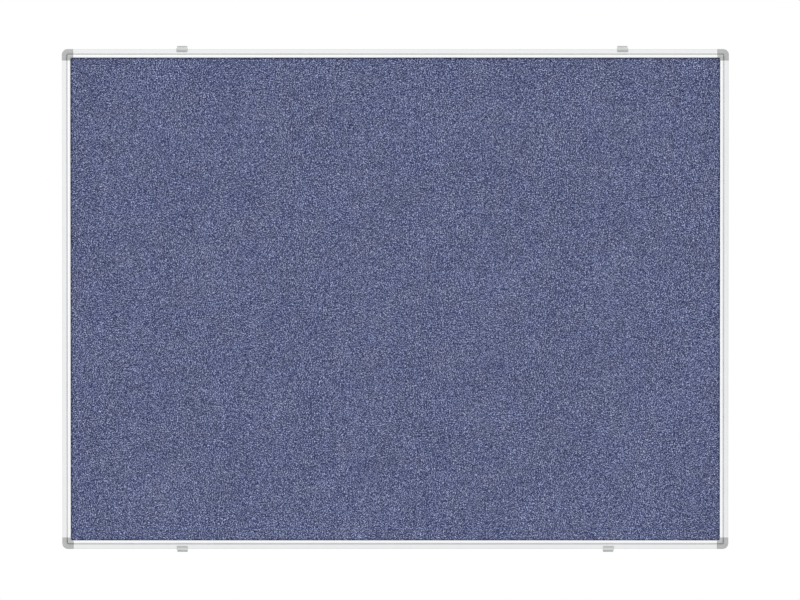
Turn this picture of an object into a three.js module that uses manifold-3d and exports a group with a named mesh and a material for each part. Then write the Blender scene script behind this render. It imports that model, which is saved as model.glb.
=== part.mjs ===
// A wall-hung pinboard: felt on a softboard core in an aluminium frame with moulded plastic corners,
// carried by four plastic clips that snap over the frame's edge and slide along it.
// Millimetres. X runs along the board, Z up. The board faces -Y and the wall is the plane y = 0.
import * as THREE from "three";
import { mergeVertices } from "three/addons/utils/BufferGeometryUtils.js";
import Module from "manifold-3d";

const wasm = await Module();
wasm.setup();

// Board, over the outside of the frame.
const boardWidth = 1200;
const boardHeight = 900;

// Gaps and cuts.
const seatGap = 0.3; // between two pieces that rest on each other
const runGap = 0.5; // each side of the clip's runner, in the frame's rear mouth
const overrun = 1; // how far a cutting tool stands past the face it cuts
const weldGap = 1e-4; // corners closer than this are one

// Sheets that the frame holds, from front to back.
const feltThickness = 1.2;
const coreThickness = 9;
const backingThickness = 0.8;

// Aluminium section. u is measured inwards from the outer edge, v backwards from the crown of the bead.
const sectionWall = 1.3;
const shoulderWidth = 8.2; // flat outer part of the face
const shoulderFall = 0.4; // how far the shoulder falls back towards the outer edge
const edgeRadius = 2; // between the shoulder and the outer wall
const grooveWidth = 2;
const grooveDepth = 1.1;
const beadWidth = 5.3; // raised inner part of the face
const beadRise = 2.2; // crown of the bead over the shoulder
const beadRound = 1.4; // height of the bead's rounded top
const beadFoot = 1; // how far the bead's inner edge reaches below the shoulder, onto the felt
const rearLipReach = 5; // flange behind the sheets
const rearFoot = 1.9; // how far the rear feet stand behind that flange
const mouthLip = 1.3; // each lip of the open rear mouth

// Moulded corner.
const capLength = 20; // from the board's outer corner along each edge
const capProud = 0.2; // over the aluminium
const windowFillet = 3; // inner corner round the felt
const mouldWall = 1.6;
const legLength = 32; // inside the rail
const legTaper = 2; // lead-in at the leg's tip

// Self-tapping screw that clamps the rail's rear lips to the leg.
const screwInset = 14; // from the moulded corner's end face
const screwLength = 9.5;
const screwRadius = 1.45;
const screwPoint = 2.2; // length of the cone
const headRadius = 3.4;
const headHeight = 1.8;
const headDome = 0.8; // rounded part of the head's height
const recessLength = 3.4; // cross recess
const recessWidth = 0.8;
const recessDepth = 1;

// Wall clip.
const clipWidth = 19.8;
const clipInset = 216; // a clip's centre from the end of the board
const topRightShift = 25; // the top right clip has been slid outwards
const clipPlate = 2.4; // back plate that lies on the wall
const plateReach = 28; // back plate, inwards from the frame's outer edge
const plateCorner = 3;
const bridgeThickness = 2.2;
const bridgeRadius = 1.4; // outside of the bend into the hook
const hookReach = 5.4; // hook over the shoulder
const hookFlat = 1.6; // flat part of the hook's front, before it slopes to the tip
const hookRoot = 2.1; // hook's thickness at the bend
const hookTip = 0.7;
const hookChamfer = 0.8;
const tabWidth = 18.8; // release tab
const tabReach = 6.4; // outwards from the frame's outer edge
const tabRib = 1.2; // finger rib at the tab's end
const tabRibRise = 1.5;
const tabChamfer = 0.8;
const runnerRise = 1.4; // runner in the rear mouth
const slotWidth = 5.6; // for the wall screw
const slotLength = 12;
const slotCentre = 18.5; // inwards from the frame's outer edge

// Smoothness of round stretches, in segments.
const sectionSegments = 10;
const bendSegments = 9;
const filletSegments = 8;
const clipSegments = 3;
const slotSegments = 5;
const screwSegments = 16;
const domeSegments = 3;

// Lines of the section that more than one piece follows.
const beadRoot = shoulderWidth + grooveWidth; // outer side of the bead and edge of the sheets' channel
const faceWidth = beadRoot + beadWidth;
const lipDepth = beadRise + beadFoot; // v of the edge that holds the felt down
const feltFront = lipDepth + seatGap;
const rearLipFront = feltFront + feltThickness + coreThickness + backingThickness + seatGap;
const rearLipBack = rearLipFront + sectionWall;
const railDepth = rearLipBack + rearFoot;
const plateFront = railDepth + seatGap; // front of the clip's back plate
const wallPlane = plateFront + clipPlate;
const sheetInset = beadRoot + seatGap;
const chamberOuter = sectionWall;
const chamberInner = beadRoot - sectionWall;
const chamberFront = beadRise + shoulderFall + sectionWall;
const chamberBack = railDepth - sectionWall;
const mouthOuter = chamberOuter + mouthLip;
const mouthInner = chamberInner - mouthLip;
const chamberCentre = (chamberOuter + chamberInner) / 2;

const QUARTER = Math.PI / 2;

// A closed geometry as a solid that can be joined and cut, and back again.
function toSolid(geometry) {
  const bare = geometry.clone();
  bare.deleteAttribute("normal");
  bare.deleteAttribute("uv");
  const merged = mergeVertices(bare, weldGap);
  return new wasm.Manifold(
    new wasm.Mesh({
      numProp: 3,
      vertProperties: new Float32Array(merged.attributes.position.array),
      triVerts: new Uint32Array(merged.index.array),
    }),
  );
}

function toGeometry(solid) {
  const mesh = solid.getMesh();
  const geometry = new THREE.BufferGeometry();
  geometry.setAttribute("position", new THREE.BufferAttribute(mesh.vertProperties, 3));
  geometry.setIndex(new THREE.BufferAttribute(mesh.triVerts, 1));
  const flat = geometry.toNonIndexed();
  flat.computeVertexNormals();
  return flat;
}

function joined(solids) {
  return solids.reduce((whole, piece) => whole.add(piece));
}

function cut(solid, tools) {
  return tools.reduce((left, tool) => left.subtract(tool), solid);
}

// A profile in u and v, extruded along the rail: x along, y = v, z = -u.
function alongRail(profile, length, segments) {
  const geometry = new THREE.ExtrudeGeometry(profile, {
    depth: length,
    bevelEnabled: false,
    curveSegments: segments,
  });
  return geometry.translate(0, 0, -length / 2).rotateY(QUARTER);
}

// A plan outline in x and u, extruded backwards from one depth to another.
function throughDepth(outline, from, to, segments) {
  const geometry = new THREE.ExtrudeGeometry(outline, {
    depth: to - from,
    bevelEnabled: false,
    curveSegments: segments,
  });
  return geometry.rotateX(-QUARTER).translate(0, from, 0);
}

function polygon(points) {
  return new THREE.Shape(points.map(([a, b]) => new THREE.Vector2(a, b)));
}

// Points of an arc, both ends included.
function arcPoints(a, b, radius, from, to, segments) {
  return Array.from({ length: segments + 1 }, (_, i) => {
    const angle = from + ((to - from) * i) / segments;
    return [a + radius * Math.cos(angle), b + radius * Math.sin(angle)];
  });
}

function rectangle(left, right, low, high) {
  return polygon([
    [left, low],
    [right, low],
    [right, high],
    [left, high],
  ]);
}

// Skins rings of equal length, and closes both ends with the faces of the outline they were made from.
function loft(outline, rings) {
  const points = rings.flat();
  const count = outline.length;
  const faces = [];
  const addFace = (a, b, c) => {
    const same = (i, j) => points[i].distanceTo(points[j]) < weldGap;
    if (!same(a, b) && !same(b, c) && !same(c, a)) faces.push(a, b, c);
  };
  for (let ring = 0; ring < rings.length - 1; ring++) {
    for (let i = 0; i < count; i++) {
      const near = ring * count + i;
      const next = ring * count + ((i + 1) % count);
      addFace(near, near + count, next + count);
      addFace(near, next + count, next);
    }
  }
  const last = (rings.length - 1) * count;
  for (const [a, b, c] of THREE.ShapeUtils.triangulateShape(outline, [])) {
    addFace(a, b, c);
    addFace(last + c, last + b, last + a);
  }
  const geometry = new THREE.BufferGeometry().setFromPoints(points);
  geometry.setIndex(faces);
  return geometry;
}

// Face of the frame, from the rear of the outer wall over the shoulder, groove and bead to the
// sheets' channel.
function traceFace(profile, proud) {
  const shoulderLevel = beadRise - proud;
  const outerLevel = shoulderLevel + shoulderFall;
  const cavityRoof = sectionWall;
  profile.moveTo(-proud, railDepth);
  profile.lineTo(-proud, outerLevel + edgeRadius);
  profile.absarc(edgeRadius - proud, outerLevel + edgeRadius, edgeRadius, Math.PI, 3 * QUARTER, false);
  profile.lineTo(shoulderWidth, shoulderLevel);
  profile.absellipse(
    shoulderWidth + grooveWidth / 2,
    shoulderLevel,
    grooveWidth / 2,
    grooveDepth,
    Math.PI,
    0,
    true,
  );
  profile.lineTo(beadRoot, beadRound - proud);
  profile.absellipse(
    beadRoot + beadWidth / 2,
    beadRound - proud,
    beadWidth / 2,
    beadRound,
    Math.PI,
    2 * Math.PI,
    false,
  );
  profile.lineTo(faceWidth, lipDepth);
  profile.lineTo(faceWidth - sectionWall, lipDepth);
  profile.lineTo(faceWidth - sectionWall, cavityRoof);
  profile.lineTo(beadRoot + sectionWall, cavityRoof);
  profile.lineTo(beadRoot + sectionWall, lipDepth);
  profile.lineTo(beadRoot, lipDepth);
  profile.lineTo(beadRoot, rearLipFront);
  profile.lineTo(beadRoot + rearLipReach, rearLipFront);
  profile.lineTo(beadRoot + rearLipReach, rearLipBack);
  profile.lineTo(beadRoot, rearLipBack);
  profile.lineTo(beadRoot, railDepth);
}

// The extruded rail: its chamber is open to the rear through a mouth between two lips.
function railProfile() {
  const profile = new THREE.Shape();
  traceFace(profile, 0);
  profile.lineTo(mouthInner, railDepth);
  profile.lineTo(mouthInner, chamberBack);
  profile.lineTo(chamberInner, chamberBack);
  profile.lineTo(chamberInner, chamberFront);
  profile.lineTo(chamberOuter, chamberFront);
  profile.lineTo(chamberOuter, chamberBack);
  profile.lineTo(mouthOuter, chamberBack);
  profile.lineTo(mouthOuter, railDepth);
  profile.closePath();
  return profile;
}

function railGeometry(edgeLength) {
  return alongRail(railProfile(), edgeLength - 2 * (capLength + seatGap), sectionSegments);
}

// Points of the corner's section, each once.
function capOutline() {
  const profile = new THREE.Shape();
  traceFace(profile, capProud);
  const points = profile.getPoints(sectionSegments);
  return points.filter((point, i) => i === 0 || point.distanceTo(points[i - 1]) > weldGap);
}

// The section carried round the board's corner. What lies outside the bead turns about the bead's root,
// and the bead itself is mitred.
function capShell() {
  const outline = capOutline();
  const rings = [outline.map((point) => new THREE.Vector3(capLength, point.y, -point.x))];
  for (let step = 0; step <= bendSegments; step++) {
    const angle = (QUARTER * step) / bendSegments;
    rings.push(
      outline.map((point) => {
        const radius = Math.max(beadRoot - point.x, 0);
        const mitre = Math.max(point.x, beadRoot);
        return new THREE.Vector3(
          mitre - radius * Math.sin(angle),
          point.y,
          -(mitre - radius * Math.cos(angle)),
        );
      }),
    );
  }
  rings.push(outline.map((point) => new THREE.Vector3(point.x, point.y, -capLength)));
  return loft(outline, rings);
}

// Fills the inner corner of the bead with a hollow round.
function windowFilletGeometry() {
  const root = faceWidth - sectionWall;
  const far = faceWidth + windowFillet;
  const outline = new THREE.Shape();
  outline.moveTo(root, root);
  outline.lineTo(far, root);
  outline.lineTo(far, faceWidth);
  outline.absarc(far, far, windowFillet, 3 * QUARTER, Math.PI, true);
  outline.lineTo(root, far);
  outline.closePath();
  return throughDepth(outline, beadRound, lipDepth, filletSegments);
}

// Recesses that core the corner from behind: one in the bend and one in each arm.
function capPockets() {
  const floor = chamberFront + mouldWall;
  const inner = beadRoot - mouldWall / 2;
  const bend = new THREE.Shape();
  bend.moveTo(inner, inner);
  bend.lineTo(inner, mouldWall);
  bend.absarc(inner, inner, inner - mouldWall, 3 * QUARTER, Math.PI, true);
  bend.closePath();
  const start = beadRoot + mouldWall / 2;
  const end = capLength - mouldWall;
  const across = rectangle(start, end, mouldWall, beadRoot - mouldWall);
  const down = rectangle(mouldWall, beadRoot - mouldWall, start, end);
  return [bend, across, down].map((outline) =>
    toSolid(throughDepth(outline, floor, railDepth + overrun, bendSegments)),
  );
}

// Leg that plugs into a rail's chamber. x = 0 is the corner's end face and z = 0 the chamber's middle.
function legSolid() {
  const half = (chamberInner - chamberOuter) / 2 - seatGap;
  const front = chamberFront + seatGap;
  const back = chamberBack - seatGap;
  const outline = [
    new THREE.Vector2(-half, front),
    new THREE.Vector2(half, front),
    new THREE.Vector2(half, back),
    new THREE.Vector2(-half, back),
  ];
  const tipScale = (half - legTaper / 2) / half;
  const middle = (front + back) / 2;
  const ring = (x, scale) =>
    outline.map(
      (point) => new THREE.Vector3(x, middle + (point.y - middle) * scale, point.x * scale),
    );
  const leg = toSolid(
    loft(outline, [ring(-mouldWall / 2, 1), ring(legLength - legTaper, 1), ring(legLength, tipScale)]),
  );
  const bossHalf = screwRadius + seatGap + mouldWall;
  const pocketHalf = half - mouldWall;
  const pockets = [
    [mouldWall, screwInset - bossHalf],
    [screwInset + bossHalf, legLength - legTaper - mouldWall],
  ].map(([from, to]) =>
    toSolid(
      throughDepth(
        rectangle(from, to, -pocketHalf, pocketHalf),
        front + mouldWall,
        back + overrun,
        1,
      ),
    ),
  );
  const pilotDepth = screwLength + seatGap + overrun;
  const pilot = new THREE.CylinderGeometry(
    screwRadius + seatGap,
    screwRadius + seatGap,
    pilotDepth,
    screwSegments,
  ).translate(screwInset, plateFront - pilotDepth / 2 + overrun - seatGap, 0);
  return cut(leg, [...pockets, toSolid(pilot)]);
}

// Puts a piece made for a leg onto the arm that runs across the board, or onto the one that runs down it.
function ontoArm(geometry, runsDown) {
  return runsDown
    ? geometry.rotateY(QUARTER).translate(chamberCentre, 0, -capLength)
    : geometry.translate(capLength, 0, -chamberCentre);
}

// Corner at the board's top left: x runs along the top edge and -z down the side, from the outer corner.
function cornerGeometry() {
  const legs = [false, true].map((runsDown) => toSolid(ontoArm(toGeometry(legSolid()), runsDown)));
  const shell = cut(toSolid(capShell()), capPockets());
  return toGeometry(joined([shell, toSolid(windowFilletGeometry()), ...legs]));
}

// Pan-head screw on the leg's axes, driven from behind, its head across the rail's rear lips.
function screwGeometry() {
  const tip = plateFront - screwLength;
  const top = plateFront + headHeight;
  const profile = [
    new THREE.Vector2(0, tip),
    new THREE.Vector2(screwRadius, tip + screwPoint),
    new THREE.Vector2(screwRadius, plateFront),
    new THREE.Vector2(headRadius, plateFront),
  ];
  for (let step = 0; step <= domeSegments; step++) {
    const angle = (QUARTER * step) / domeSegments;
    profile.push(
      new THREE.Vector2(
        headRadius - headDome * (1 - Math.cos(angle)),
        top - headDome * (1 - Math.sin(angle)),
      ),
    );
  }
  profile.push(new THREE.Vector2(0, top));
  const body = toSolid(new THREE.LatheGeometry(profile, screwSegments));
  const recess = [
    [recessLength, recessWidth],
    [recessWidth, recessLength],
  ].map(([length, width]) =>
    toSolid(
      new THREE.BoxGeometry(length, recessDepth + overrun, width).translate(
        0,
        top - recessDepth + (recessDepth + overrun) / 2,
        0,
      ),
    ),
  );
  return toGeometry(cut(body, recess)).translate(screwInset, 0, 0);
}

// Side view of the clip: tab, bridge outside the rail, hook over its shoulder, plate behind it with a runner.
function clipProfile() {
  const bridgeInner = -seatGap;
  const bridgeOuter = bridgeInner - bridgeThickness;
  const outerLevel = beadRise + shoulderFall;
  const hookUnder = outerLevel - seatGap;
  const shoulderSlope = shoulderFall / (shoulderWidth - edgeRadius);
  const tipUnder = hookUnder - shoulderSlope * (hookReach - edgeRadius);
  const hookTop = hookUnder - hookRoot;
  return polygon([
    [-tabReach, wallPlane],
    [-tabReach, plateFront - tabRibRise],
    [-tabReach + tabRib, plateFront - tabRibRise],
    [-tabReach + tabRib, plateFront],
    [bridgeOuter, plateFront],
    ...arcPoints(
      bridgeOuter + bridgeRadius,
      hookTop + bridgeRadius,
      bridgeRadius,
      Math.PI,
      3 * QUARTER,
      clipSegments,
    ),
    [hookFlat, hookTop],
    [hookReach, tipUnder - hookTip],
    [hookReach, tipUnder],
    ...arcPoints(
      edgeRadius,
      outerLevel + edgeRadius,
      edgeRadius + seatGap,
      3 * QUARTER,
      Math.PI,
      clipSegments,
    ),
    [bridgeInner, plateFront],
    [mouthOuter + runGap, plateFront],
    [mouthOuter + runGap, plateFront - runnerRise],
    [mouthInner - runGap, plateFront - runnerRise],
    [mouthInner - runGap, plateFront],
    [plateReach, plateFront],
    [plateReach, wallPlane],
  ]);
}

// Plan of the whole clip, its tab narrower and chamfered and the plate's far corners rounded.
function clipPlan() {
  const half = clipWidth / 2;
  const tabHalf = tabWidth / 2;
  const tabRoot = -seatGap - bridgeThickness;
  const centre = half - plateCorner;
  const far = plateReach - plateCorner;
  return polygon([
    [-half, tabRoot],
    [-tabHalf, tabRoot],
    [-tabHalf, -tabReach + tabChamfer],
    [-tabHalf + tabChamfer, -tabReach],
    [tabHalf - tabChamfer, -tabReach],
    [tabHalf, -tabReach + tabChamfer],
    [tabHalf, tabRoot],
    [half, tabRoot],
    ...arcPoints(centre, far, plateCorner, 0, QUARTER, clipSegments),
    ...arcPoints(-centre, far, plateCorner, QUARTER, Math.PI, clipSegments),
  ]);
}

// Wedge that takes the corner off the hook's tip, on the side given by sign.
function hookCornerCut(sign) {
  const half = clipWidth / 2;
  const outline = polygon([
    [sign * (half - hookChamfer), hookReach + overrun],
    [sign * (half - hookChamfer), hookReach],
    [sign * half, hookReach - hookChamfer],
    [sign * (half + overrun), hookReach - hookChamfer],
    [sign * (half + overrun), hookReach + overrun],
  ]);
  return toSolid(throughDepth(outline, -overrun - hookRoot, beadRise + shoulderFall, 1));
}

// Upright slot for the wall screw, with round ends.
function slotSolid() {
  const radius = slotWidth / 2;
  const straight = (slotLength - slotWidth) / 2;
  const outline = polygon([
    ...arcPoints(0, slotCentre + straight, radius, 0, Math.PI, slotSegments),
    ...arcPoints(0, slotCentre - straight, radius, Math.PI, 2 * Math.PI, slotSegments),
  ]);
  return toSolid(throughDepth(outline, plateFront - overrun, wallPlane + overrun, 1));
}

function clipGeometry() {
  const side = toSolid(alongRail(clipProfile(), clipWidth, 1));
  const plan = toSolid(throughDepth(clipPlan(), -overrun - hookRoot, wallPlane + overrun, 1));
  const body = side.intersect(plan);
  return toGeometry(cut(body, [hookCornerCut(-1), hookCornerCut(1), slotSolid()]));
}

// A sheet that fills the frame's channel, its front at the depth given.
function sheetGeometry(thickness, front) {
  const width = boardWidth - 2 * sheetInset;
  const height = boardHeight - 2 * sheetInset;
  return new THREE.BoxGeometry(width, thickness, height).translate(
    0,
    front + thickness / 2 - wallPlane,
    0,
  );
}

const materials = {
  aluminium: new THREE.MeshStandardMaterial({ color: 0xe4e6e8, roughness: 0.35, metalness: 0.9 }),
  plastic: new THREE.MeshStandardMaterial({ color: 0xb6b8b9, roughness: 0.55, metalness: 0 }),
  clipPlastic: new THREE.MeshStandardMaterial({ color: 0xc4c8c8, roughness: 0.5, metalness: 0 }),
  felt: new THREE.MeshStandardMaterial({ color: 0x606786, roughness: 0.95, metalness: 0 }),
  softboard: new THREE.MeshStandardMaterial({ color: 0xa88a62, roughness: 0.9, metalness: 0 }),
  backing: new THREE.MeshStandardMaterial({ color: 0xc9c6be, roughness: 0.85, metalness: 0 }),
  zinc: new THREE.MeshStandardMaterial({ color: 0xc2c5c9, roughness: 0.3, metalness: 1 }),
};

function addPiece(parent, name, geometry, material) {
  const mesh = new THREE.Mesh(geometry, material);
  mesh.name = name;
  parent.add(mesh);
  return mesh;
}

const pinboard = new THREE.Group();

// Felt, core and backing lie face to face.
const coreFront = feltFront + feltThickness;
const backingFront = coreFront + coreThickness;
addPiece(pinboard, "felt_face", sheetGeometry(feltThickness, feltFront), materials.felt);
addPiece(pinboard, "softboard_core", sheetGeometry(coreThickness, coreFront), materials.softboard);
addPiece(pinboard, "backing_sheet", sheetGeometry(backingThickness, backingFront), materials.backing);

// Each edge of the board is the same rail turned about the board's middle, with the clips that it carries.
const edges = [
  { name: "top", turn: 0, length: boardWidth, reach: boardHeight / 2 },
  { name: "right", turn: QUARTER, length: boardHeight, reach: boardWidth / 2 },
  { name: "bottom", turn: 2 * QUARTER, length: boardWidth, reach: boardHeight / 2 },
  { name: "left", turn: 3 * QUARTER, length: boardHeight, reach: boardWidth / 2 },
];
const edgeGroups = {};
for (const edge of edges) {
  const turned = new THREE.Group();
  turned.rotation.y = edge.turn;
  const seat = new THREE.Group();
  seat.position.set(0, -wallPlane, edge.reach);
  turned.add(seat);
  pinboard.add(turned);
  edgeGroups[edge.name] = seat;
  addPiece(seat, `rail_${edge.name}`, railGeometry(edge.length), materials.aluminium);
}

// The bottom edge is turned half round, so its x runs the other way.
const clipPlace = boardWidth / 2 - clipInset;
const clips = [
  { name: "top_left", edge: "top", x: -clipPlace },
  { name: "top_right", edge: "top", x: clipPlace + topRightShift },
  { name: "bottom_left", edge: "bottom", x: clipPlace },
  { name: "bottom_right", edge: "bottom", x: -clipPlace },
];
const clipShape = clipGeometry();
for (const clip of clips) {
  const mesh = addPiece(
    edgeGroups[clip.edge],
    `wall_clip_${clip.name}`,
    clipShape,
    materials.clipPlastic,
  );
  mesh.position.x = clip.x;
}

// One moulding serves all four corners, turned, each with a screw in either leg.
const corners = [
  { name: "top_left", turn: 0, x: -1, z: 1, legs: ["top", "left"] },
  { name: "top_right", turn: QUARTER, x: 1, z: 1, legs: ["right", "top"] },
  { name: "bottom_right", turn: 2 * QUARTER, x: 1, z: -1, legs: ["bottom", "right"] },
  { name: "bottom_left", turn: 3 * QUARTER, x: -1, z: -1, legs: ["left", "bottom"] },
];
const cornerShape = cornerGeometry();
for (const corner of corners) {
  const seat = new THREE.Group();
  seat.position.set((corner.x * boardWidth) / 2, -wallPlane, (corner.z * boardHeight) / 2);
  seat.rotation.y = corner.turn;
  pinboard.add(seat);
  addPiece(seat, `corner_${corner.name}`, cornerShape, materials.plastic);
  corner.legs.forEach((rail, i) => {
    addPiece(
      seat,
      `screw_${corner.name}_${rail}_rail`,
      ontoArm(screwGeometry(), i === 1),
      materials.zinc,
    );
  });
}

export default pinboard;
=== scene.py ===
# Wall-hung pinboard, 1200 x 900 mm: felt in an aluminium frame with moulded corners and sliding
# clips. Metres. The board faces -Y, the wall is y = 0 and Z is up.
import math

import bmesh
import bpy
from mathutils import Matrix, Vector, noise


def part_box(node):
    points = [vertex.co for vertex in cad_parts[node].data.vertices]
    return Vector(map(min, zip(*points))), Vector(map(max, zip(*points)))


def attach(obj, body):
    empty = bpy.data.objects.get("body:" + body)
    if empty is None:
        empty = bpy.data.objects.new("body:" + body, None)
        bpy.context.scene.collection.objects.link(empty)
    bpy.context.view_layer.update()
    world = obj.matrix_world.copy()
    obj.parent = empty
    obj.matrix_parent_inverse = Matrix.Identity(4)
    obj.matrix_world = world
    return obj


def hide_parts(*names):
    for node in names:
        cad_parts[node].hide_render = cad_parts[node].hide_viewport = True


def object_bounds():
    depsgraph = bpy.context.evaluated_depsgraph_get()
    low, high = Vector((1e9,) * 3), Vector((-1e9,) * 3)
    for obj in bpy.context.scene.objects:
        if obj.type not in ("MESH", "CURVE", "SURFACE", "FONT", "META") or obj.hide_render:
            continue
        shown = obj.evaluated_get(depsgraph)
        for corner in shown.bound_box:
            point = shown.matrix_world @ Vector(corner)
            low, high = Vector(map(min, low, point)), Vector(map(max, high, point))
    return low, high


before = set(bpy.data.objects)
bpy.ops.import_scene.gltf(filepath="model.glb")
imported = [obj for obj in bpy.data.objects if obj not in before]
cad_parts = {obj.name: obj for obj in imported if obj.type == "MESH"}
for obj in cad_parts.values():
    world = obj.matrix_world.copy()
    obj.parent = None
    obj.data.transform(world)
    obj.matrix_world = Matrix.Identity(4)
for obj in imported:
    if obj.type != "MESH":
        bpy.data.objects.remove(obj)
cadLow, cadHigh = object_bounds()
print("frame loaded,", len(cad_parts), "nodes")

# The board as the picture shows it
pictureView = {
    "pixelsWide": 800,
    "metresPerPixel": 0.0018,  # on the board's face
    "distance": 10.0,
    "elevation": math.radians(1.0),
    "sensorWidth": 36.0,
    "pixelsLeft": 4.7,  # the board's middle, left of the picture's middle
    "pixelsUp": 0.8,
}


def makeCamera(view):
    camera = bpy.data.objects.new("camera", bpy.data.cameras.new("camera"))
    bpy.context.scene.collection.objects.link(camera)
    camera.data.sensor_width = view["sensorWidth"]
    pictureWidth = view["pixelsWide"] * view["metresPerPixel"]
    camera.data.lens = view["sensorWidth"] * view["distance"] / pictureWidth
    offset = Vector((view["pixelsLeft"], 0.0, -view["pixelsUp"])) * view["metresPerPixel"]
    aim = Vector((0.0, cadLow.y, 0.0)) + offset
    tilt = view["elevation"]
    camera.location = aim + Vector((0.0, -math.cos(tilt), math.sin(tilt))) * view["distance"]
    camera.rotation_euler = (math.radians(90.0) - tilt, 0.0, 0.0)
    bpy.context.scene.camera = camera


makeCamera(pictureView)
bpy.context.scene.view_settings.view_transform = "Standard"
print("camera set")


# Shader helpers
noiseMiddle = 0.5
toneRange = (0.3, 0.7)  # the part of their scale that the noises fill


def addNode(tree, kind, inputs=None, **settings):
    node = tree.nodes.new("ShaderNode" + kind)
    for name, value in settings.items():
        setattr(node, name, value)
    for name, value in (inputs or {}).items():
        if isinstance(value, bpy.types.NodeSocket):
            tree.links.new(value, node.inputs[name])
        else:
            node.inputs[name].default_value = value
    return node


def calculate(tree, operation, first, second=0.0, third=0.0):
    return addNode(tree, "Math", {0: first, 1: second, 2: third}, operation=operation).outputs[0]


def stretched(tree, vector, scale, turn=(0.0, 0.0, 0.0)):
    inputs = {"Vector": vector, "Scale": scale, "Rotation": turn}
    return addNode(tree, "Mapping", inputs).outputs["Vector"]


def noiseOf(tree, vector, scale=1.0, detail=2.0, roughness=0.5, distortion=0.0):
    inputs = {
        "Vector": vector,
        "Scale": scale,
        "Detail": detail,
        "Roughness": roughness,
        "Distortion": distortion,
    }
    return addNode(tree, "TexNoise", inputs).outputs["Fac"]


def rangeOf(tree, value, low, high, bottom=0.0, top=1.0):
    inputs = {"Value": value, "From Min": low, "From Max": high, "To Min": bottom, "To Max": top}
    return addNode(tree, "MapRange", inputs).outputs["Result"]


def blended(tree, first, second, share):
    rest = calculate(tree, "MULTIPLY", second, 1.0 - share)
    return calculate(tree, "MULTIPLY_ADD", first, share, rest)


def rampOf(tree, value, stops):
    ramp = addNode(tree, "ValToRGB", {"Fac": value})
    elements = ramp.color_ramp.elements
    while len(elements) < len(stops):
        elements.new(0.5)
    for element, (place, colour) in zip(elements, stops):
        element.position = place
        element.color = (*colour, 1.0)
    return ramp.outputs["Color"]


# The colour goes from dark to pale as the value crosses the range.
def shadeOf(tree, value, crossed, dark, pale):
    low, high = crossed
    return rampOf(tree, value, [(low, dark), (high, pale)])


def mixColour(tree, blend, factor, first, second):
    inputs = {0: factor, 6: first, 7: second}
    return addNode(tree, "Mix", inputs, data_type="RGBA", blend_type=blend).outputs[2]


def bumpOf(tree, height, distance, strength=1.0, under=None):
    inputs = {"Height": height, "Distance": distance, "Strength": strength}
    if under:
        inputs["Normal"] = under
    return addNode(tree, "Bump", inputs).outputs["Normal"]


def newMaterial(name, **values):
    material = bpy.data.materials.new(name)
    material.use_nodes = True
    tree = material.node_tree
    shader = tree.nodes["Principled BSDF"]
    for socket, value in values.items():
        shader.inputs[socket.replace("_", " ")].default_value = value
    place = addNode(tree, "TexCoord").outputs["Object"]
    return material, tree, shader, place


def shade(tree, shader, **sockets):
    for name, value in sockets.items():
        tree.links.new(value, shader.inputs[name.replace("_", " ")])


# Grey-blue needled felt: tufts about 2 mm across with dark pits between them, matted fibres in
# the tufts and single pale hairs lying over both. The pits' dark colour is partly the fleece's own
# dark fibres and partly painted shade in the hollows between tufts.
feltLook = {
    "pit": (0.007, 0.012, 0.064),
    "body": (0.201, 0.228, 0.405),
    "tip": (0.525, 0.578, 0.850),
    "tuftScale": 560.0,
    "tuftRange": (0.484, 0.662),  # tones of a pit and of a tip
    "fibreScale": (2600.0, 2600.0, 420.0),
    "fibreTurns": (0.4, 1.5, 2.5),
    "fibreMiddle": 0.6,
    "fibreShare": 0.36,
    "hair": (0.300, 0.334, 0.525),
    "hairScale": (5200.0, 5200.0, 330.0),
    "hairTurns": (0.15, 0.95, 1.75, 2.6),
    "hairRange": (0.62, 0.74),
    "hairShare": 0.31,
    "tintScale": 30.0,
    "tintRange": (0.35, 0.65),
    "cool": (0.972, 0.988, 1.0),  # tints between which the fleece wanders
    "warm": (1.0, 1.0, 0.94),
    "mottleScale": 8.0,
    "mottleShare": 0.028,
    "streakLong": 9.0,
    "streakAcross": 330.0,
    "warpShare": 0.041,
    "weftShare": 0.034,
    "lipShadeTone": (0.66, 0.66, 0.58),  # painted shade on the pile beside the frame's lip
    "tuftDepth": 0.0006,
    "fibreDepth": 0.00012,
    "reliefStrength": 0.8,
}


# A Mapping node scales before it turns, so the fibres are turned in one and stretched in the next.
def fibresOf(tree, place, scale, turns):
    matted = None
    for turn in turns:
        turned = stretched(tree, place, (1.0, 1.0, 1.0), (0.0, turn, 0.0))
        laid = stretched(tree, turned, scale)
        thread = noiseOf(tree, laid, detail=1.0, distortion=0.4)
        matted = calculate(tree, "MAXIMUM", matted, thread) if matted else thread
    return matted


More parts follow.
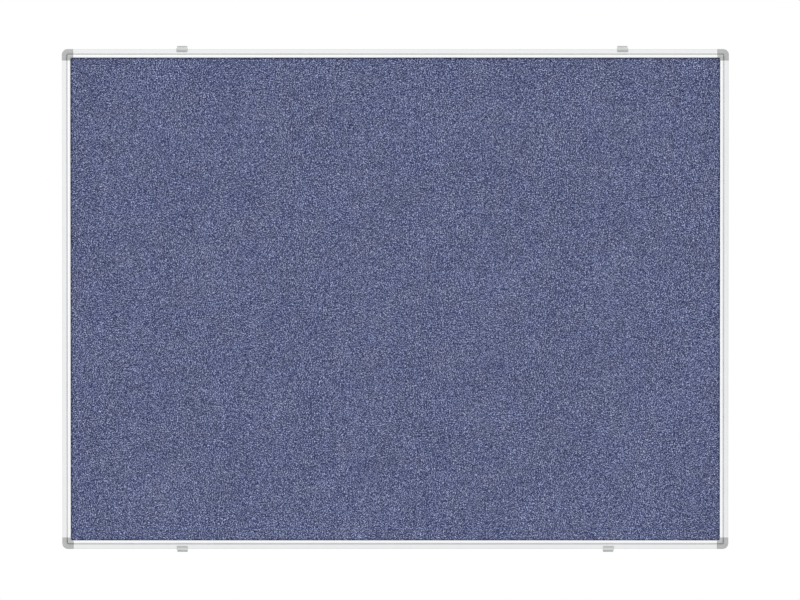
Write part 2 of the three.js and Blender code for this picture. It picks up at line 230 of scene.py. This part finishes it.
def makeFeltMaterial(look):
    material, tree, shader, place = newMaterial(
        "grey_blue_felt",
        Roughness=0.95,
        Specular_IOR_Level=0.15,
        Sheen_Weight=0.12,
        Sheen_Roughness=0.6,
        Sheen_Tint=(0.75, 0.80, 1.0, 1.0),
    )
    tufts = noiseOf(tree, place, look["tuftScale"], roughness=0.6, distortion=0.8)
    fibres = fibresOf(tree, place, look["fibreScale"], look["fibreTurns"])
    mottle = noiseOf(tree, place, look["mottleScale"], detail=3.0, roughness=0.6)
    across, long = look["streakAcross"], look["streakLong"]
    warp = noiseOf(tree, stretched(tree, place, (across, across, long)))
    weft = noiseOf(tree, stretched(tree, place, (long, across, across)))
    tone = tufts
    for layer, middle, share in (
        (fibres, look["fibreMiddle"], look["fibreShare"]),
        (mottle, noiseMiddle, look["mottleShare"]),
        (warp, noiseMiddle, look["warpShare"]),
        (weft, noiseMiddle, look["weftShare"]),
    ):
        offset = calculate(tree, "SUBTRACT", layer, middle)
        tone = calculate(tree, "MULTIPLY_ADD", offset, share, tone)
    level = rangeOf(tree, tone, *look["tuftRange"])
    colour = rampOf(tree, level, [(0.0, look["pit"]), (0.5, look["body"]), (1.0, look["tip"])])
    hairs = fibresOf(tree, place, look["hairScale"], look["hairTurns"])
    lying = rangeOf(tree, hairs, *look["hairRange"], top=look["hairShare"])
    colour = mixColour(tree, "MIX", lying, colour, (*look["hair"], 1.0))
    wander = noiseOf(tree, place, look["tintScale"], roughness=0.6)
    tint = shadeOf(tree, wander, look["tintRange"], look["cool"], look["warm"])
    colour = mixColour(tree, "MULTIPLY", 1.0, colour, tint)
    # painted shade: the pile beside the frame's lip is darkened where the lip shades it
    pressed = addNode(tree, "Attribute", attribute_name="pressed").outputs["Fac"]
    colour = mixColour(tree, "MULTIPLY", pressed, colour, (*look["lipShadeTone"], 1.0))
    strength = look["reliefStrength"]
    relief = bumpOf(tree, tufts, look["tuftDepth"], strength)
    relief = bumpOf(tree, fibres, look["fibreDepth"], strength, relief)
    relief = bumpOf(tree, lying, look["fibreDepth"], strength, relief)
    shade(tree, shader, Base_Color=colour, Normal=relief)
    return material


# Frame and clip pieces carry how far inwards of the frame's outer edge each point lies. A look's
# bands give a share of its tone at some such distances, for what lies less than bandDepth behind
# the foremost point of the board, and elsewhere gives the share for the rest.
bandSpan = {"from": -0.008, "to": 0.016}


# Painted light: the bands paint shade along outer edges, in grooves and over the clips' hooks, and
# a highlight on the rails' bead.
def paintedLightBands(tree, place, colour, look):
    inset = addNode(tree, "Attribute", attribute_name="inset").outputs["Fac"]
    across = rangeOf(tree, inset, bandSpan["from"], bandSpan["to"])
    length = bandSpan["to"] - bandSpan["from"]
    stops = [((at - bandSpan["from"]) / length, (share,) * 3) for at, share in look["bands"]]
    tone = rampOf(tree, across, stops)
    depth = addNode(tree, "SeparateXYZ", {"Vector": place}).outputs["Y"]
    onFace = calculate(tree, "LESS_THAN", depth, cadLow.y + look["bandDepth"])
    share = mixColour(tree, "MIX", onFace, (*[look["elsewhere"]] * 3, 1.0), tone)
    return mixColour(tree, "MULTIPLY", 1.0, colour, share)


# Satin anodised aluminium with the lines of the die along the rail, painted shade along its outer
# edge and in its groove, and a painted highlight on its bead
aluminiumLook = {
    "bandDepth": 0.006,
    "elsewhere": 0.74,
    "bright": (0.955, 0.96, 0.965),
    "dull": (0.90, 0.91, 0.92),
    "roughness": (0.42, 0.28),  # where dull, where bright
    # painted shade at the outer edge (0.0) and in the groove (0.0082 to 0.0100), painted highlight
    # on the bead (from 0.0110)
    "bands": (
        (0.0, 0.74),
        (0.0016, 0.90),
        (0.0072, 0.90),
        (0.0082, 0.78),
        (0.0100, 0.78),
        (0.0110, 1.0),
        (0.0150, 1.0),
    ),
    "lineAcross": 2600.0,
    "lineAlong": 3.0,
    "lineDepth": 0.000012,
    "lineShare": 0.6,
    "cloudScale": 45.0,
}


def makeAluminium(name, look, alongX):
    material, tree, shader, place = newMaterial(name, Metallic=1.0, Roughness=0.34)
    across, along = look["lineAcross"], look["lineAlong"]
    scale = (along, across, across) if alongX else (across, across, along)
    lines = noiseOf(tree, stretched(tree, place, scale), detail=3.0, roughness=0.65)
    cloud = noiseOf(tree, place, look["cloudScale"], detail=3.0, roughness=0.55)
    tone = blended(tree, lines, cloud, look["lineShare"])
    plain = shadeOf(tree, tone, toneRange, look["dull"], look["bright"])
    shade(
        tree,
        shader,
        Base_Color=paintedLightBands(tree, place, plain, look),
        Roughness=rangeOf(tree, tone, *toneRange, *look["roughness"]),
        Normal=bumpOf(tree, lines, look["lineDepth"]),
    )
    return material


# Moulded plastic: a fine eroded grain, and tone and gloss that wander a little as the melt flowed
meltFlow = {"scale": (110.0, 60.0, 160.0), "share": 0.7, "rubbedScale": 900.0}
cornerLook = {
    "bandDepth": 0.006,
    "elsewhere": 0.96,
    "pale": (0.490, 0.492, 0.490),
    "deep": (0.425, 0.428, 0.430),
    "roughness": (0.58, 0.46),  # where deep, where pale
    # painted shade along the cap's outer edge (0.0) and in its groove (0.0084 to 0.0100)
    "bands": (
        (0.0, 0.86),
        (0.0016, 0.96),
        (0.0074, 0.94),
        (0.0084, 0.80),
        (0.0100, 0.80),
        (0.0110, 1.0),
        (0.0150, 1.0),
    ),
    "grainScale": 2600.0,
    "grainDepth": 0.00004,
}
clipLook = {
    "bandDepth": 0.0187,
    "elsewhere": 0.87,
    "pale": (0.690, 0.715, 0.707),
    "deep": (0.615, 0.640, 0.635),
    "roughness": (0.50, 0.38),
    # painted shade over the hook's bend (0.86) and, deeper, over its sloping lip (0.66)
    "bands": (
        (-0.0066, 1.0),
        (-0.0022, 1.0),
        (-0.0008, 0.86),
        (0.0012, 0.87),
        (0.0024, 0.66),
        (0.0054, 0.66),
    ),
    "grainScale": 3400.0,
    "grainDepth": 0.00002,
}


def makePlastic(name, look):
    material, tree, shader, place = newMaterial(name, IOR=1.49)
    cells = {"Vector": place, "Scale": look["grainScale"], "Smoothness": 0.6}
    grain = addNode(tree, "TexVoronoi", cells, feature="SMOOTH_F1").outputs["Distance"]
    streaming = stretched(tree, place, meltFlow["scale"])
    flow = noiseOf(tree, streaming, detail=4.0, roughness=0.6, distortion=1.2)
    rubbed = noiseOf(tree, place, meltFlow["rubbedScale"], roughness=0.6)
    tone = blended(tree, flow, rubbed, meltFlow["share"])
    plain = shadeOf(tree, tone, toneRange, look["deep"], look["pale"])
    shade(
        tree,
        shader,
        Base_Color=paintedLightBands(tree, place, plain, look),
        Roughness=rangeOf(tree, tone, *toneRange, *look["roughness"]),
        Normal=bumpOf(tree, grain, look["grainDepth"]),
    )
    return material


# Bright zinc plating, faintly blue, over a turned and pressed screw
zincLook = {
    "blue": (0.58, 0.63, 0.72),
    "bright": (0.74, 0.77, 0.81),
    "roughness": (0.36, 0.22),  # where blue, where bright
    "filmScale": 420.0,
    "filmRange": (0.35, 0.6),
    "pitScale": 5200.0,
    "pitDepth": 0.000012,
}


def makeZinc(look):
    material, tree, shader, place = newMaterial("bright_zinc", Metallic=1.0)
    film = noiseOf(tree, place, look["filmScale"], detail=3.0, roughness=0.6, distortion=0.8)
    pits = noiseOf(tree, place, look["pitScale"])
    shade(
        tree,
        shader,
        Base_Color=shadeOf(tree, film, look["filmRange"], look["blue"], look["bright"]),
        Roughness=rangeOf(tree, film, *toneRange, *look["roughness"]),
        Normal=bumpOf(tree, pits, look["pitDepth"]),
    )
    return material


# Pressed softboard
softboardLook = {
    "dark": (0.24, 0.14, 0.06),
    "light": (0.52, 0.36, 0.19),
    "fibreScale": (700.0, 1600.0, 700.0),
    "fibreDepth": 0.0004,
}


def makeSoftboard(look):
    material, tree, shader, place = newMaterial("softboard", Roughness=0.95)
    pressed = stretched(tree, place, look["fibreScale"])
    fibres = noiseOf(tree, pressed, detail=4.0, roughness=0.7, distortion=1.5)
    colour = shadeOf(tree, fibres, toneRange, look["dark"], look["light"])
    shade(tree, shader, Base_Color=colour, Normal=bumpOf(tree, fibres, look["fibreDepth"]))
    return material


# The lined paper that backs the board, with flecks of unpulped fibre
backingLook = {
    "shade": (0.52, 0.50, 0.455),
    "pale": (0.61, 0.59, 0.54),
    "roughness": (0.82, 0.66),  # where in shade, where pale
    "cloudScale": 14.0,
    "feltingScale": (160.0, 900.0, 900.0),
    "feltingShare": 0.5,
    "paperRange": (0.35, 0.65),
    "paperDepth": 0.00008,
    "fleck": (0.36, 0.33, 0.28),
    "fleckScale": (260.0, 1200.0, 1200.0),
    "fleckTurn": (0.0, 0.3, 0.0),
    "fleckRange": (0.70, 0.76),
}


def makeBacking(look):
    material, tree, shader, place = newMaterial("lined_backing", Specular_IOR_Level=0.3)
    cloud = noiseOf(tree, place, look["cloudScale"], detail=5.0, roughness=0.6)
    laid = stretched(tree, place, look["feltingScale"])
    felting = noiseOf(tree, laid, detail=3.0, roughness=0.6)
    strewn = stretched(tree, place, look["fleckScale"], look["fleckTurn"])
    flecks = noiseOf(tree, strewn, detail=1.0)
    tone = blended(tree, felting, cloud, look["feltingShare"])
    paper = shadeOf(tree, tone, look["paperRange"], look["shade"], look["pale"])
    mask = rangeOf(tree, flecks, *look["fleckRange"])
    shade(
        tree,
        shader,
        Base_Color=mixColour(tree, "MIX", mask, paper, (*look["fleck"], 1.0)),
        Roughness=rangeOf(tree, tone, *toneRange, *look["roughness"]),
        Normal=bumpOf(tree, tone, look["paperDepth"]),
    )
    return material


felt = makeFeltMaterial(feltLook)
aluminiumAcross = makeAluminium("anodised_aluminium_across", aluminiumLook, True)
aluminiumUpright = makeAluminium("anodised_aluminium_upright", aluminiumLook, False)
cornerPlastic = makePlastic("moulded_corner_plastic", cornerLook)
clipPlastic = makePlastic("moulded_clip_plastic", clipLook)
zinc = makeZinc(zincLook)
softboard = makeSoftboard(softboardLook)
backing = makeBacking(backingLook)
print("materials made")


# The felt: its pile stands up over the board and is pressed down along the frame's lip
feltSheet = {
    "columns": 280,
    "rows": 210,
    "lipInset": 0.005,  # the frame's lip covers this much of the sheet's edge
    "pressedRows": (0.0006, 0.0014, 0.0026, 0.0042, 0.0062),  # extra rows where the pile dips
    "cutTolerance": 0.00002,
    "pileRise": 0.0007,
    "pressedWidth": 0.0055,
    "shadedWidth": 0.0034,  # width of the painted shade on the pile beside the lip
    "unevenness": 0.00022,
    "unevenScale": 170.0,
    "roll": 0.00015,
    "rollScale": 9.0,
}


def addObject(name, bm, material, smooth=True):
    mesh = bpy.data.meshes.new(name)
    for face in bm.faces:
        face.smooth = smooth
    bm.to_mesh(mesh)
    bm.free()
    mesh.materials.append(material)
    piece = bpy.data.objects.new(name, mesh)
    bpy.context.scene.collection.objects.link(piece)
    return piece


def smoothStep(value):
    value = min(1.0, max(0.0, value))
    return value * value * (3.0 - 2.0 * value)


def makeFelt(sheet):
    low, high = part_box("felt_face")
    middle = (low + high) / 2
    bm = bmesh.new()
    bmesh.ops.create_grid(bm, x_segments=sheet["columns"], y_segments=sheet["rows"], size=0.5)
    bmesh.ops.scale(bm, vec=(high.x - low.x, high.z - low.z, 1.0), verts=bm.verts)
    halfWidth = (high.x - low.x) / 2 - sheet["lipInset"]
    halfHeight = (high.z - low.z) / 2 - sheet["lipInset"]
    for inside in sheet["pressedRows"]:
        across = (halfWidth - inside, Vector((1, 0, 0)))
        upright = (halfHeight - inside, Vector((0, 1, 0)))
        for reach, axis in (across, upright):
            for side in (-1, 1):
                bmesh.ops.bisect_plane(
                    bm,
                    geom=bm.verts[:] + bm.edges[:] + bm.faces[:],
                    dist=sheet["cutTolerance"],
                    plane_co=axis * reach * side,
                    plane_no=axis,
                )
    rim = [edge for edge in bm.edges if edge.is_boundary]
    pressed = bm.verts.layers.float.new("pressed")
    for vert in bm.verts:
        x, y, _ = vert.co
        inside = min(halfWidth - abs(x), halfHeight - abs(y))
        rise = smoothStep(inside / sheet["pressedWidth"])
        # pressed holds the painted shade beside the lip; the pile's dip is the rise below
        vert[pressed] = 1.0 - smoothStep(inside / sheet["shadedWidth"])
        tuft = noise.noise(vert.co * sheet["unevenScale"]) * sheet["unevenness"]
        roll = noise.noise(vert.co * sheet["rollScale"]) * sheet["roll"]
        vert.co.z = rise * (sheet["pileRise"] + tuft + roll)
    back = bmesh.ops.extrude_edge_only(bm, edges=rim)["geom"]
    backVerts = [item for item in back if isinstance(item, bmesh.types.BMVert)]
    backEdges = [item for item in back if isinstance(item, bmesh.types.BMEdge)]
    bmesh.ops.translate(bm, vec=(0, 0, -(high.y - low.y)), verts=backVerts)
    openEdges = [edge for edge in backEdges if edge.is_boundary]
    bmesh.ops.contextual_create(bm, geom=openEdges)
    # the grid lies flat with its pile up: stand it up to face -Y
    turn = Vector((0, 0, 1)).rotation_difference(Vector((0, -1, 0))).to_matrix()
    bmesh.ops.rotate(bm, cent=(0, 0, 0), matrix=turn, verts=bm.verts)
    bmesh.ops.translate(bm, vec=(middle.x, low.y, middle.z), verts=bm.verts)
    bmesh.ops.recalc_face_normals(bm, faces=bm.faces)
    piece = addObject("felt_cloth", bm, felt)
    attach(piece, "board")
    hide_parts("felt_face")


makeFelt(feltSheet)
print("felt laid")


# Rigid pieces: a copy of each node with its edges broken as the real one's are
finishes = {
    "rail": {
        "edge": 0.00015,
        "steps": 2,
        "sharp": math.radians(32),
        "slot": "frame_aluminium",
    },
    "corner": {
        "edge": 0.00025,
        "steps": 2,
        "sharp": math.radians(32),
        "slot": "corner_plastic",
    },
    "wall_clip": {
        "edge": 0.00025,
        "steps": 3,
        "sharp": math.radians(24),
        "slot": "clip_plastic",
    },
}
merging = {"distance": 0.000008, "angle": math.radians(0.6)}
frameReach = Vector((0.600, 0.0, 0.450))
beadRoot = 0.0102  # inset of the corner that the frame's bends turn about


# Distance inwards of the frame's outer edge
def insetOf(point):
    across = frameReach.x - abs(point.x)
    upright = frameReach.z - abs(point.z)
    if across < beadRoot and upright < beadRoot:
        return beadRoot - math.hypot(beadRoot - across, beadRoot - upright)
    return min(across, upright)


def markInset(bm):
    layer = bm.verts.layers.float.new("inset")
    for vert in bm.verts:
        vert[layer] = insetOf(vert.co)


def finishedCopy(node, name, finish, material, body):
    bm = bmesh.new()
    bm.from_mesh(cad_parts[node].data)
    bmesh.ops.remove_doubles(bm, verts=bm.verts, dist=merging["distance"])
    bmesh.ops.dissolve_limit(bm, angle_limit=merging["angle"], verts=bm.verts, edges=bm.edges)
    sharp = [
        edge
        for edge in bm.edges
        if len(edge.link_faces) == 2 and edge.calc_face_angle() > finish["sharp"]
    ]
    bmesh.ops.bevel(
        bm,
        geom=sharp,
        offset=finish["edge"],
        offset_type="OFFSET",
        segments=finish["steps"],
        profile=0.5,
        affect="EDGES",
        clamp_overlap=True,
        material=-1,
    )
    markInset(bm)
    piece = addObject(name, bm, material)
    smooth = piece.modifiers.new("even shading", "WEIGHTED_NORMAL")
    smooth.keep_sharp = True
    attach(piece, body)
    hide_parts(node)


for side, material in (
    ("top", aluminiumAcross),
    ("bottom", aluminiumAcross),
    ("left", aluminiumUpright),
    ("right", aluminiumUpright),
):
    finishedCopy(f"rail_{side}", f"{side}_rail", finishes["rail"], material, "board")
corners = ("top_left", "top_right", "bottom_right", "bottom_left")
for corner in corners:
    finishedCopy(f"corner_{corner}", f"{corner}_corner", finishes["corner"], cornerPlastic, "board")
    clip, body = f"wall_clip_{corner}", f"clip_{corner}"
    finishedCopy(clip, f"{corner}_clip", finishes["wall_clip"], clipPlastic, body)
print("rigid pieces finished")


# Self-tapping pan-head screws with a cross recess, each driven home at its own angle
screw = {
    "steps": 40,  # round the axis
    "root": 0.00108,  # radius of the shank between the thread's ridges
    "crest": 0.00145,
    "pitch": 0.00105,
    "ridge": 0.5,  # share of the pitch
    "rowsPerPitch": 8,
    "point": 0.0022,
    "plain": 0.0008,  # unthreaded neck under the head
    "head": (  # radius and height over the head's underside
        (0.00330, 0.0),
        (0.00340, 0.00010),
        (0.00340, 0.00090),
        (0.00333, 0.00115),
        (0.00315, 0.00137),
        (0.00285, 0.00153),
        (0.00240, 0.00164),
        (0.00160, 0.00174),
        (0.00080, 0.001785),
    ),
    "headHeight": 0.0018,
    "recessTop": (0.0034, 0.0008),
    "recessFloor": (0.0009, 0.0003),
    "recessDepth": 0.0017,
    "recessClear": 0.0002,  # height of the cutter over the head
    "angles": (0.35, 1.2, 0.9, 0.1, 1.45, 0.6, 0.25, 1.05),
    "sharp": math.radians(38),
}


def threadRadius(shape, along, angle, shankLength):
    turns = along / shape["pitch"] - angle / math.tau
    crest = max(0.0, 1.0 - abs(turns % 1.0 - 0.5) * 2.0 / shape["ridge"])
    fade = smoothStep((shankLength - shape["plain"] - along) / shape["pitch"])
    radius = shape["root"] + (shape["crest"] - shape["root"]) * crest * fade
    return radius * min(1.0, along / shape["point"])


def joinRings(bm, first, second):
    for i in range(len(first)):
        j = (i + 1) % len(first)
        bm.faces.new((first[i], first[j], second[j], second[i]))


# One arm of the recess, narrower at its floor
def cutArm(piece, shape, top, turn):
    spin = Matrix.Rotation(turn, 3, "Y")
    bm = bmesh.new()
    rings = []
    for (long, wide), level in (
        (shape["recessFloor"], -shape["recessDepth"]),
        (shape["recessTop"], shape["recessClear"]),
    ):
        ring = []
        for x, z in ((-1, -1), (1, -1), (1, 1), (-1, 1)):
            corner = Vector((x * long / 2, level, z * wide / 2))
            ring.append(bm.verts.new(top + spin @ corner))
        bm.faces.new(ring)
        rings.append(ring)
    joinRings(bm, *rings)
    bmesh.ops.recalc_face_normals(bm, faces=bm.faces)
    cutter = addObject("recess_cutter", bm, zinc, smooth=False)
    recess = piece.modifiers.new("recess", "BOOLEAN")
    recess.object = cutter
    recess.operation = "DIFFERENCE"
    recess.solver = "EXACT"
    bpy.context.view_layer.update()
    evaluated = piece.evaluated_get(bpy.context.evaluated_depsgraph_get())
    mesh = bpy.data.meshes.new_from_object(evaluated)
    piece.modifiers.remove(recess)
    piece.data = mesh
    bpy.data.objects.remove(cutter)


def addRing(bm, middle, radii):
    ring = []
    for step, radius in enumerate(radii):
        angle = math.tau * step / len(radii)
        spoke = Vector((radius * math.cos(angle), 0.0, radius * math.sin(angle)))
        ring.append(bm.verts.new(middle + spoke))
    return ring


def closeRing(bm, ring, point):
    middle = bm.verts.new(point)
    for i in range(len(ring)):
        bm.faces.new((middle, ring[i], ring[(i + 1) % len(ring)]))


def makeScrew(node, name, shape, turn):
    low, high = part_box(node)
    axis = (low + high) / 2
    tip = Vector((axis.x, low.y, axis.z))
    crown = Vector((axis.x, high.y, axis.z))
    shankLength = high.y - low.y - shape["headHeight"]
    rowGap = shape["pitch"] / shape["rowsPerPitch"]
    rows = int(shankLength / rowGap)
    angles = [math.tau * step / shape["steps"] for step in range(shape["steps"])]
    bm = bmesh.new()
    rings = []
    for row in range(1, rows + 1):
        along = shankLength * row / rows
        radii = [threadRadius(shape, along, angle, shankLength) for angle in angles]
        rings.append(addRing(bm, tip + Vector((0.0, along, 0.0)), radii))
    for radius, height in shape["head"]:
        middle = tip + Vector((0.0, shankLength + height, 0.0))
        rings.append(addRing(bm, middle, [radius] * shape["steps"]))
    for first, second in zip(rings, rings[1:]):
        joinRings(bm, first, second)
    closeRing(bm, rings[0], tip)
    closeRing(bm, rings[-1], crown)
    bmesh.ops.recalc_face_normals(bm, faces=bm.faces)
    piece = addObject(name, bm, zinc)
    for armTurn in (turn, turn + math.pi / 2):
        cutArm(piece, shape, crown, armTurn)
    piece.data.set_sharp_from_angle(angle=shape["sharp"])
    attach(piece, "board")
    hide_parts(node)


screwPlaces = [(corner, rail) for corner in corners for rail in corner.split("_")]
for (corner, rail), turn in zip(screwPlaces, screw["angles"]):
    makeScrew(f"screw_{corner}_{rail}_rail", f"{corner}_screw_in_{rail}_rail", screw, turn)
print("screws driven")


# The board's middle and back show little, and keep their solids' shape
for node, material in (("softboard_core", softboard), ("backing_sheet", backing)):
    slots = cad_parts[node].data.materials
    slots.clear()
    slots.append(material)


# Studio
studio = {
    "floorDrop": 1.5,  # from the board's lower edge
    "floorSize": 5.0,
    "floorColour": (0.86, 0.86, 0.86, 1.0),
    "white": (1.0, 1.0, 1.0, 1.0),
    "floorWhite": 0.7,  # share of plain white that the camera sees in the floor's middle
    "floorFade": (1.0, 2.4),  # distances from the middle between which it fades to white
    "skyLevel": 0.675,  # what the white surroundings give to matte surfaces
}
lamps = {
    "key": {"at": (-10.2, -6.0, 9.0), "size": 6.0, "watts": 1080.0, "mirrored": True},
    "fill": {"at": (11.4, -6.0, 2.4), "size": 7.2, "watts": 520.0, "mirrored": False},
    "back": {"at": (0.6, 3.2, 2.4), "size": 2.2, "watts": 60.0, "mirrored": False},
}


def whiteForView(tree):
    rays = addNode(tree, "LightPath").outputs
    seen = calculate(tree, "MAXIMUM", rays["Is Camera Ray"], rays["Is Glossy Ray"])
    return calculate(tree, "MAXIMUM", seen, rays["Is Transmission Ray"])


def makeWorld(values):
    world = bpy.data.worlds.new("studio")
    bpy.context.scene.world = world
    world.use_nodes = True
    tree = world.node_tree
    strength = rangeOf(tree, whiteForView(tree), 0.0, 1.0, bottom=values["skyLevel"])
    background = tree.nodes["Background"]
    background.inputs["Color"].default_value = values["white"]
    tree.links.new(strength, background.inputs["Strength"])


def makeFloor(values):
    bm = bmesh.new()
    bmesh.ops.create_grid(bm, x_segments=1, y_segments=1, size=values["floorSize"] / 2)
    bmesh.ops.translate(bm, vec=(0, 0, cadLow.z - values["floorDrop"]), verts=bm.verts)
    material, tree, shader, place = newMaterial(
        "pale_floor", Base_Color=values["floorColour"], Roughness=0.9
    )
    glow = addNode(tree, "Emission", {"Color": values["white"], "Strength": 1.0})
    flat = stretched(tree, place, (1.0, 1.0, 0.0))
    outwards = addNode(tree, "VectorMath", {0: flat}, operation="LENGTH").outputs["Value"]
    white = rangeOf(tree, outwards, *values["floorFade"], bottom=values["floorWhite"])
    share = calculate(tree, "MULTIPLY", whiteForView(tree), white)
    inputs = {0: share, 1: shader.outputs["BSDF"], 2: glow.outputs["Emission"]}
    mixed = addNode(tree, "MixShader", inputs)
    tree.links.new(mixed.outputs["Shader"], tree.nodes["Material Output"].inputs["Surface"])
    addObject("floor", bm, material, smooth=False)


def makeLamps(places):
    for name, lamp in places.items():
        light = bpy.data.lights.new(name, "AREA")
        light.shape = "DISK"
        light.size = lamp["size"]
        light.energy = lamp["watts"]
        holder = bpy.data.objects.new(name, light)
        bpy.context.scene.collection.objects.link(holder)
        holder.visible_glossy = lamp["mirrored"]
        holder.location = lamp["at"]
        holder.rotation_euler = Vector(lamp["at"]).to_track_quat("Z", "Y").to_euler()


makeWorld(studio)
makeFloor(studio)
makeLamps(lamps)
print("studio lit")
